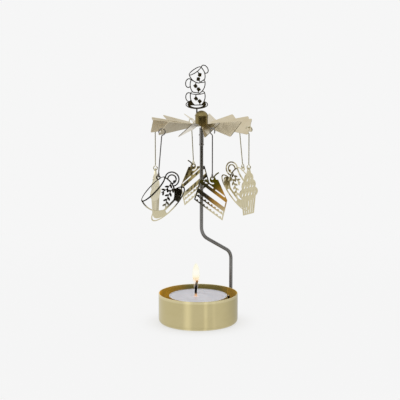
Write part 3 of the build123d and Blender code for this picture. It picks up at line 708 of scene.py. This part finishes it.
def add_piece(name: str, shape: bmesh.types.BMesh, material: bpy.types.Material) -> bpy.types.Object:
    """Turn a finished bmesh into a smooth piece at the origin.

    Args:
        name: Name of the piece.
        shape: Its shape in place; it is freed.
        material: Its material.

    Returns:
        The new object.
    """
    mesh = bpy.data.meshes.new(name)
    shape.to_mesh(mesh)
    shape.free()
    mesh.materials.append(material)
    mesh.shade_smooth()
    piece = bpy.data.objects.new(name, mesh)
    bpy.context.scene.collection.objects.link(piece)
    log.info("%s: %d faces", name, len(mesh.polygons))
    return piece


def lathe(profile: Iterable[tuple[float, float]], steps: int) -> bmesh.types.BMesh:
    """Closed solid of revolution about the upright axis.

    Args:
        profile: Radius and height of each corner, in order round a closed loop.
        steps: Number of segments round.

    Returns:
        The shape, with its faces outwards.
    """
    shape = bmesh.new()
    corners = [shape.verts.new((radius, 0.0, height)) for radius, height in profile]
    edges = [shape.edges.new((corner, corners[number - 1])) for number, corner in enumerate(corners)]
    bmesh.ops.spin(
        shape,
        geom=[*corners, *edges],
        cent=(0.0, 0.0, 0.0),
        axis=(0.0, 0.0, 1.0),
        angle=2.0 * math.pi,
        steps=steps,
        use_merge=True,
    )
    bmesh.ops.remove_doubles(shape, verts=shape.verts[:], dist=1e-6)
    bmesh.ops.recalc_face_normals(shape, faces=shape.faces[:])
    return shape


def smooth_route(points: Iterable[Point], steps: int) -> list[Vector]:
    """Points along a smooth line.

    Args:
        points: Corners that the line follows.
        steps: Fineness of the line.

    Returns:
        The line's points in order.
    """
    corners = list(points)
    curve = bpy.data.curves.new("route", "CURVE")
    curve.dimensions = "3D"
    curve.resolution_u = steps
    spline = curve.splines.new("NURBS")
    spline.points.add(len(corners) - 1)
    for place, corner in zip(spline.points, corners):
        place.co = (*corner, 1.0)
    spline.order_u = 3
    spline.use_endpoint_u = True
    holder = bpy.data.objects.new("route", curve)
    bpy.context.scene.collection.objects.link(holder)
    line = bpy.data.meshes.new_from_object(holder.evaluated_get(bpy.context.evaluated_depsgraph_get()))
    found = [vertex.co.copy() for vertex in line.vertices]
    bpy.data.objects.remove(holder)
    bpy.data.curves.remove(curve)
    bpy.data.meshes.remove(line)
    return found


@dataclass
class Stand:
    """The cup with the bent rod, its sleeve and the needle."""

    def build(self) -> None:
        """Dress the nodes."""
        dress(Finish.CUP_BRASS, "holder_cup")
        dress(Finish.ROD_STEEL, "stand_rod")
        dress(Finish.SLEEVE_STEEL, "needle_sleeve")
        dress(Finish.NEEDLE_STEEL, "pivot_needle")


@dataclass
class Rotor:
    """The bladed wheel with its dome, seat and the figure on top."""

    def build(self) -> None:
        """Dress the nodes."""
        dress(Finish.WHEEL_BRASS, "blade_wheel")
        dress(Finish.DOME_BRASS, "bearing_dome")
        dress(Finish.SEAT_STEEL, "pivot_seat")
        dress(Finish.TOPPER_BRASS, "topper_figure")


@dataclass
class Charms:
    """The six etched charms and the wires that carry them."""

    pale_hangers: tuple[int, ...] = (1, 2, 3, 4)
    dark_hangers: tuple[int, ...] = (5, 6)
    pairs: int = 2
    kinds: tuple[str, ...] = ("cupcake", "teacup", "cake")

    def build(self) -> None:
        """Dress the nodes."""
        dress(Finish.PALE_WIRE, *(f"hanger_{number}" for number in self.pale_hangers))
        dress(Finish.DARK_WIRE, *(f"hanger_{number}" for number in self.dark_hangers))
        dress(
            Finish.PLATE_BRASS,
            *(f"{kind}_charm_{number + 1}" for kind in self.kinds for number in range(self.pairs)),
        )


@dataclass
class Tealight:
    """The candle: a foil case with its wax, a twisted wick on a sustainer, and the flame."""

    body: str = "tealight"
    wick_route: tuple[Point, ...] = (
        (0.0, 0.0, 1.17 * MM),
        (0.0, 0.0, 4.17 * MM),
        (-2.2 * MM, 0.0, 21.67 * MM),
        (-0.6 * MM, 0.4 * MM, 27.67 * MM),
    )
    wick_radius: float = 0.68 * MM
    strand_count: int = 3
    strand_swell: float = 0.22
    wick_twist: float = math.radians(15.0)
    wick_sides: int = 18
    wick_taper: Point = (0.55, 0.55, 0.8)
    route_steps: int = 28
    bore_radius: float = 0.95 * MM
    collar_radius: float = 1.9 * MM
    collar_top: float = 4.35 * MM
    foot_radius: float = 6.2 * MM
    foot_top: float = 1.4 * MM
    lean_reach: float = 8.0 * MM
    wax_radius: float = 18.66 * MM
    wax_round: float = 0.6 * MM
    wax_steps: int = 96
    wax_floor: float = 0.86 * MM
    wax_top: float = 17.46 * MM
    wax_level: float = 17.25 * MM
    # Steps inwards from the case's wall and down from the wax's top
    lip: tuple[Span, ...] = ((0.0, 0.06 * MM), (0.05 * MM, 0.0), (0.25 * MM, 0.08 * MM))
    # Steps inwards from the case's wall and up from the wax's level
    meniscus: tuple[Span, ...] = ((0.8 * MM, 0.04 * MM), (2.0 * MM, 0.0))
    pool_radius: float = 9.5 * MM
    pool_depth: float = 0.4 * MM
    # Shares of the pool's radius and depth, from its bank to its floor
    pool_bank: tuple[Span, ...] = ((1.25, 0.0), (1.04, 0.075), (0.95, 0.5), (0.8, 1.0), (0.45, 1.0))
    # Distances from the wick's middle and rises above the pool's floor
    wick_mound: tuple[Span, ...] = ((2.4 * MM, 0.03 * MM), (1.5 * MM, 0.16 * MM), (1.1 * MM, 0.45 * MM))
    mound_rise: float = 0.55 * MM
    flame_foot: float = 18.6 * MM
    flame_tip: float = 39.6 * MM
    flame_radius: float = 2.5 * MM
    flame_lean: Point = (-1.4 * MM, 0.1 * MM, 0.0)
    flame_back: float = 4.5 * MM
    flame_back_rise: float = 0.55
    flame_layers: int = 4
    flame_segments: int = 28
    flame_swell: float = 2.36
    flame_foot_power: float = 0.7
    flame_tip_power: float = 0.55
    core_narrowing: float = 0.36
    core_lift: float = 0.10
    core_shortening: float = 0.22

    def build(self) -> None:
        """Dress the case and make the wax, the wick and the flame."""
        dress(Finish.CASE_FOIL, "tealight_case")
        dress(Finish.SUSTAINER_TIN, "wick_sustainer")
        route = smooth_route(self.wick_route, self.route_steps)
        self.make_wax(route)
        self.make_wick(route)
        self.make_flame()

    def lean(self, route: list[Vector], height: float) -> Vector:
        """Place of the wick's middle at a height, as an offset from the upright axis."""
        nearest = min(route, key=lambda point: abs(point.z - height))
        return Vector((nearest.x, nearest.y, 0.0))

    def make_wax(self, route: list[Vector]) -> bpy.types.Object:
        """Wax with a lip at the case, a shallow pool and a bore for the wick.

        Args:
            route: Line of the wick.

        Returns:
            The piece.
        """
        pool_floor = self.wax_level - self.pool_depth
        # Over the sustainer, up the case's wall, over the lip and the level wax into the pool, and back at the wick
        profile = [
            (self.bore_radius, self.collar_top),
            (self.collar_radius, self.collar_top),
            (self.collar_radius, self.foot_top),
            (self.foot_radius, self.foot_top),
            (self.foot_radius, self.wax_floor),
            (self.wax_radius - self.wax_round, self.wax_floor),
            (self.wax_radius, self.wax_floor + self.wax_round),
            (self.wax_radius, 0.5 * self.wax_top),
            *((self.wax_radius - inwards, self.wax_top - down) for inwards, down in self.lip),
            *((self.wax_radius - inwards, self.wax_level + up) for inwards, up in self.meniscus),
            *((self.pool_radius * reach, self.wax_level - self.pool_depth * sunk) for reach, sunk in self.pool_bank),
            *((radius, pool_floor + rise) for radius, rise in self.wick_mound),
            (self.bore_radius, pool_floor + self.mound_rise),
            (self.bore_radius, 0.5 * self.wax_top),
        ]
        shape = lathe(profile, self.wax_steps)
        for vertex in shape.verts:
            radius = math.hypot(vertex.co.x, vertex.co.y)
            share = max(0.0, 1.0 - max(0.0, radius - self.bore_radius) / self.lean_reach)
            vertex.co += self.lean(route, vertex.co.z) * (share * share * (3.0 - 2.0 * share))
        foot_point = self.lean(route, pool_floor) + Vector((0.0, 0.0, pool_floor))
        finish = WaxFinish(
            "candle_wax",
            tone=(0.66, 0.65, 0.70),
            cloud=(0.70, 0.69, 0.735),
            pool=(0.66, 0.645, 0.70),
            glow=(0.46, 0.25, 0.12),
            wick_foot=tuple(foot_point),
            pool_radius=self.pool_radius,
            glow_radius=2.4 * MM,
        )
        wax = add_piece("candle_wax", shape, finish.material())
        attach(wax, self.body)
        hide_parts("tealight_wax")
        return wax

    def make_wick(self, route: list[Vector]) -> bpy.types.Object:
        """Wick of strands twisted round each other along its line.

        Args:
            route: Line of the wick.

        Returns:
            The piece.
        """
        shape = bmesh.new()
        made = bmesh.ops.create_circle(shape, cap_ends=True, segments=self.wick_sides, radius=self.wick_radius)
        for vertex in made["verts"]:
            angle = math.atan2(vertex.co.y, vertex.co.x)
            vertex.co *= 1.0 + self.strand_swell * abs(math.cos(0.5 * self.strand_count * angle))
        bmesh.ops.translate(shape, verts=shape.verts[:], vec=route[0])
        heading = Vector((0.0, 0.0, 1.0))
        end = shape.faces[:]
        for number in range(1, len(route)):
            step = route[number] - route[number - 1]
            grown = bmesh.ops.extrude_face_region(shape, geom=end)["geom"]
            if number > 1:
                bmesh.ops.delete(shape, geom=end, context="FACES_ONLY")
            ring = [part for part in grown if isinstance(part, bmesh.types.BMVert)]
            end = [part for part in grown if isinstance(part, bmesh.types.BMFace)]
            turn = heading.rotation_difference(step.normalized()).to_matrix()
            twist = Matrix.Rotation(self.wick_twist, 3, step)
            bmesh.ops.rotate(shape, verts=ring, cent=route[number - 1], matrix=twist @ turn)
            bmesh.ops.translate(shape, verts=ring, vec=step)
            heading = step.normalized()
        tip = end[0].calc_center_median()
        bmesh.ops.scale(shape, verts=end[0].verts[:], vec=self.wick_taper, space=Matrix.Translation(-tip))
        bmesh.ops.recalc_face_normals(shape, faces=shape.faces[:])
        finish = WickFinish(
            "charred_wick",
            cotton=(0.10, 0.075, 0.05),
            char=(0.006, 0.005, 0.005),
            ember=(0.75, 0.20, 0.03),
            lit=(0.75, 0.42, 0.22),
            lit_to=19.8 * MM,
            char_from=18.6 * MM,
            ember_from=26.0 * MM,
            tip=28.0 * MM,
        )
        wick = add_piece("twisted_wick", shape, finish.material())
        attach(wick, self.body)
        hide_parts("tealight_wick")
        return wick

    def make_flame(self) -> bpy.types.Object:
        """Flame of nested veils, narrow below and round above.

        Returns:
            The piece.
        """
        tall = self.flame_tip - self.flame_foot
        middle = Vector(self.flame_lean)
        shape = bmesh.new()
        core = shape.verts.layers.float.new("core")
        for layer in range(self.flame_layers):
            depth = layer / (self.flame_layers - 1)
            made = bmesh.ops.create_uvsphere(
                shape, u_segments=self.flame_segments, v_segments=self.flame_segments, radius=1.0
            )
            for vertex in made["verts"]:
                share = 0.5 * (vertex.co.z + 1.0)
                across = Vector((vertex.co.x, vertex.co.y, 0.0))
                swell = self.flame_swell * share**self.flame_foot_power * (1.0 - share) ** self.flame_tip_power
                radius = self.flame_radius * (1.0 - self.core_narrowing * depth) * swell
                if across.length > 0.0:
                    across.normalize()
                rise = self.core_lift * depth + share * (1.0 - self.core_shortening * depth)
                back = self.flame_back * max(0.0, 1.0 - rise / self.flame_back_rise) ** 2
                vertex.co = middle + across * radius + Vector((0.0, back, self.flame_foot + tall * rise))
                vertex[core] = depth
        finish = FlameFinish(
            "candle_flame",
            foot=self.flame_foot,
            tip=self.flame_tip,
            edge=(1.0, 0.95, 0.68),
            glow_stops=(
                (0.0, (0.66, 0.62, 0.82)),
                (0.22, (0.92, 0.87, 0.94)),
                (0.36, (1.0, 0.72, 0.42)),
                (0.46, (1.0, 0.62, 0.22)),
                (0.56, (1.0, 0.93, 0.72)),
                (0.64, (1.0, 1.0, 0.97)),
                (0.72, (1.0, 1.0, 0.99)),
                (1.0, (1.0, 0.95, 0.70)),
            ),
            body_stops=((0.0, 0.03), (0.2, 0.09), (0.4, 0.06), (0.48, 0.24), (0.57, 0.9), (0.9, 0.9), (1.0, 0.6)),
            veil_share=0.22,
        )
        flame = add_piece("candle_flame", shape, finish.material())
        flame.visible_shadow = False
        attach(flame, self.body)
        return flame


@dataclass(frozen=True)
class Patch:
    """Round spot on a wall, for the metal to mirror."""

    place: Point
    size: float
    colour: Colour


@dataclass(frozen=True)
class Streak:
    """Bright sector of the floor, for the metal to mirror; its direction and width are in degrees."""

    direction: float
    width: float
    lift: float


@dataclass(frozen=True)
class Wall:
    """Upright curved wall; its two edges are in degrees from the viewer's side towards the viewer's right."""

    name: str
    radius: float
    start: float
    end: float


@dataclass(frozen=True)
class Lamp:
    """Soft rectangular lamp that faces the object; a face of level 1 is white."""

    name: str
    place: Point
    size: tuple[float, float]
    level: float
    mirrored: bool = True


@dataclass
class Studio:
    """Pale floor, soft lamps, dark curved walls for the metal to mirror, and the camera."""

    white: float = 0.922
    sky_fill: float = 0.72
    floor_reach: float = 8.0
    floor_tone: Colour = (0.9, 0.9, 0.9)
    floor_glow: float = 0.94
    floor_far: Span = (0.12, 0.35)
    shadow_reach: float = 0.042
    shadow_depth: float = 0.3
    streaks: tuple[Streak, ...] = (Streak(-32.0, 17.0, 0.30), Streak(20.0, 8.0, 0.26), Streak(44.0, 8.0, 0.10))
    streak_base: float = 0.84
    streak_limit: float = 2.0
    streak_origin: Point = (-0.0004, -0.013, 0.0)
    dim_span: Span = (60.0, 125.0)
    dim_drop: float = 0.25
    walls: tuple[Wall, ...] = (Wall("front_wall", 0.5, -60.0, 90.0), Wall("right_wall", 0.75, 122.0, 160.0))
    wall_foot: float = 0.001
    wall_height: float = 0.32
    wall_steps: int = 48
    wall_deep: Colour = (0.014, 0.012, 0.006)
    wall_light: Colour = (0.10, 0.078, 0.03)
    cloud_size: float = 0.22
    cloud_span: Span = (0.4, 0.62)
    fade_from: float = 0.55
    fade_share: float = 0.7
    fade_lift: float = 3.0
    patches: tuple[Patch, ...] = (
        Patch((0.346, -0.361, 0.04), 0.07, (0.012, 0.011, 0.008)),
        Patch((-0.243, -0.437, 0.02), 0.07, (0.010, 0.009, 0.007)),
        Patch((0.176, -0.468, 0.045), 0.05, (0.10, 0.095, 0.002)),
        Patch((0.158, -0.474, 0.012), 0.022, (0.03, 0.03, 0.028)),
        Patch((0.186, -0.464, 0.006), 0.022, (0.62, 0.36, 0.09)),
    )
    patch_core: float = 0.6
    lamps: tuple[Lamp, ...] = (
        Lamp("left_box", (-0.57, -0.82, 0.7), (0.25, 0.8), 1.2),
        Lamp("right_box", (0.34, -0.94, 0.7), (0.15, 0.8), 1.1),
        Lamp("top_box", (0.1, 0.15, 1.1), (0.9, 0.9), 0.8, mirrored=False),
    )
    lamp_aim: Point = (0.0, 0.0, 0.08)
    focal_pixels: float = 1250.0
    clip: Span = (0.01, 50.0)
    eye: Point = (-0.0226, -0.8, 0.2114)
    pitch_down: float = math.radians(9.246)
    yaw: float = math.radians(-1.705)

    def build(self) -> None:
        """Set up everything that isn't the object."""
        bpy.context.scene.view_settings.view_transform = "Standard"
        self.make_world()
        self.make_floor()
        for wall in self.walls:
            self.make_wall(wall)
        for lamp in self.lamps:
            self.make_lamp(lamp)
        self.make_camera()

    def seen(self, nodes: NodeTree) -> Value:
        """Mask of the rays that show the background: those of the camera, of gloss and of glass.

        Args:
            nodes: Tree that the mask goes to.

        Returns:
            The mask, 1 on those rays.
        """
        rays = nodes.node("ShaderNodeLightPath").outputs
        camera = Value(nodes, rays["Is Camera Ray"])
        shown = camera.math("MAXIMUM", camera, Value(nodes, rays["Is Glossy Ray"]))
        return shown.math("MAXIMUM", shown, Value(nodes, rays["Is Transmission Ray"]))

    def make_world(self) -> None:
        """White where it is seen, and weaker as light on the object."""
        world = bpy.data.worlds.new("studio")
        bpy.context.scene.world = world
        nodes = NodeTree(world)
        shown = nodes.node("ShaderNodeBackground", None, {"Color": (self.white,) * 3, "Strength": 1.0})
        fill = nodes.node("ShaderNodeBackground", None, {"Color": (1.0, 1.0, 1.0), "Strength": self.sky_fill})
        both = nodes.node(
            "ShaderNodeMixShader", None, {0: self.seen(nodes), 1: fill.outputs[0], 2: shown.outputs[0]}
        )
        nodes.surface(both.outputs[0], "ShaderNodeOutputWorld")

    def make_floor(self) -> None:
        """Pale floor that keeps a faint shadow and gives the cup's metal bright streaks to mirror."""
        material, nodes = new_material("pale_floor")
        matte = nodes.node("ShaderNodeBsdfDiffuse", None, {"Color": self.floor_tone})
        reach = nodes.distance((0.0, 0.0, 0.0))
        far = reach.within(*self.floor_far)
        close = reach.within(self.shadow_reach, 0.5 * self.shadow_reach)
        across = nodes.part("X") - self.streak_origin[0]
        ahead = self.streak_origin[1] - nodes.part("Y")
        turn = across.math("ARCTAN2", across, ahead) * math.degrees(1.0)
        level = self.streak_base - turn.within(*self.dim_span) * self.dim_drop
        for streak in self.streaks:
            aside = turn - streak.direction
            level = level + aside.math("ABSOLUTE", aside).within(streak.width, 0.0) * streak.lift
        mirrored = Value(nodes, nodes.node("ShaderNodeLightPath").outputs["Is Glossy Ray"]) * (1.0 - far)
        streaked = nodes.mix(level / self.streak_limit, BLACK, (self.streak_limit * self.white,) * 3)
        tone = nodes.mix(mirrored, (self.white,) * 3, streaked)
        glow = nodes.node("ShaderNodeEmission", None, {"Color": tone, "Strength": 1.0})
        shade = (1.0 - self.floor_glow) * (1.0 - far) + close * self.shadow_depth
        share = self.seen(nodes) * (1.0 - shade)
        both = nodes.node("ShaderNodeMixShader", None, {0: share, 1: matte.outputs[0], 2: glow.outputs[0]})
        nodes.surface(both.outputs[0])
        shape = bmesh.new()
        bmesh.ops.create_grid(shape, x_segments=1, y_segments=1, size=self.floor_reach)
        add_piece("floor", shape, material)

    def make_wall(self, plan: Wall) -> None:
        """Make a wall that only gloss mirrors.

        Args:
            plan: Place and length of the wall.
        """
        material, nodes = new_material(plan.name)
        cloud = nodes.noise(self.cloud_size, detail=1.0)
        fade = nodes.part("Z").within(self.fade_from * self.wall_height, self.wall_height)
        tone = nodes.mix(cloud.within(*self.cloud_span), self.wall_deep, self.wall_light)
        tone = nodes.mix(fade * self.fade_share, tone, tuple(self.fade_lift * part for part in self.wall_light))
        for patch in self.patches:
            spot = nodes.distance(patch.place).within(patch.size, self.patch_core * patch.size)
            tone = nodes.mix(spot, tone, patch.colour)
        nodes.surface(nodes.node("ShaderNodeEmission", None, {"Color": tone, "Strength": 1.0}).outputs[0])
        first = math.radians(plan.start - 90.0)
        across, ahead = plan.radius * math.cos(first), plan.radius * math.sin(first)
        shape = bmesh.new()
        ends = [shape.verts.new((across, ahead, height)) for height in (self.wall_foot, self.wall_height)]
        edge = shape.edges.new(ends)
        bmesh.ops.spin(
            shape,
            geom=[*ends, edge],
            cent=(0.0, 0.0, 0.0),
            axis=(0.0, 0.0, 1.0),
            angle=math.radians(plan.end - plan.start),
            steps=self.wall_steps,
        )
        wall = add_piece(plan.name, shape, material)
        wall.visible_camera = False
        wall.visible_diffuse = False
        wall.visible_transmission = False
        wall.visible_shadow = False

    def make_lamp(self, lamp: Lamp) -> None:
        """Make a lamp that the camera doesn't see.

        Args:
            lamp: Place, size and brightness of the lamp.
        """
        width, height = lamp.size
        data = bpy.data.lights.new(lamp.name, "AREA")
        data.shape = "RECTANGLE"
        data.size, data.size_y = width, height
        data.energy = lamp.level * math.pi * width * height
        light = bpy.data.objects.new(lamp.name, data)
        light.location = lamp.place
        aim = Vector(self.lamp_aim) - Vector(lamp.place)
        light.rotation_euler = aim.to_track_quat("-Z", "Y").to_euler()
        light.visible_camera = False
        light.visible_glossy = lamp.mirrored
        bpy.context.scene.collection.objects.link(light)

    def make_camera(self) -> None:
        """Camera at the photograph's viewing angle."""
        data = bpy.data.cameras.new("camera")
        data.sensor_fit = "HORIZONTAL"
        data.sensor_width = SENSOR_WIDTH
        data.lens = self.focal_pixels * SENSOR_WIDTH / IMAGE_SIDE
        data.clip_start, data.clip_end = self.clip
        camera = bpy.data.objects.new("camera", data)
        camera.location = self.eye
        camera.rotation_euler = (0.5 * math.pi - self.pitch_down, 0.0, self.yaw)
        bpy.context.scene.collection.objects.link(camera)
        bpy.context.scene.camera = camera


def main() -> None:
    """Build the studio and dress each sub-assembly in order."""
    logging.basicConfig(level=logging.INFO, format="%(name)s: %(message)s")
    for assembly in (Studio(), Stand(), Tealight(), Rotor(), Charms()):
        assembly.build()
        log.info("%s is done", type(assembly).__name__)


if __name__ == "__main__":
    main()
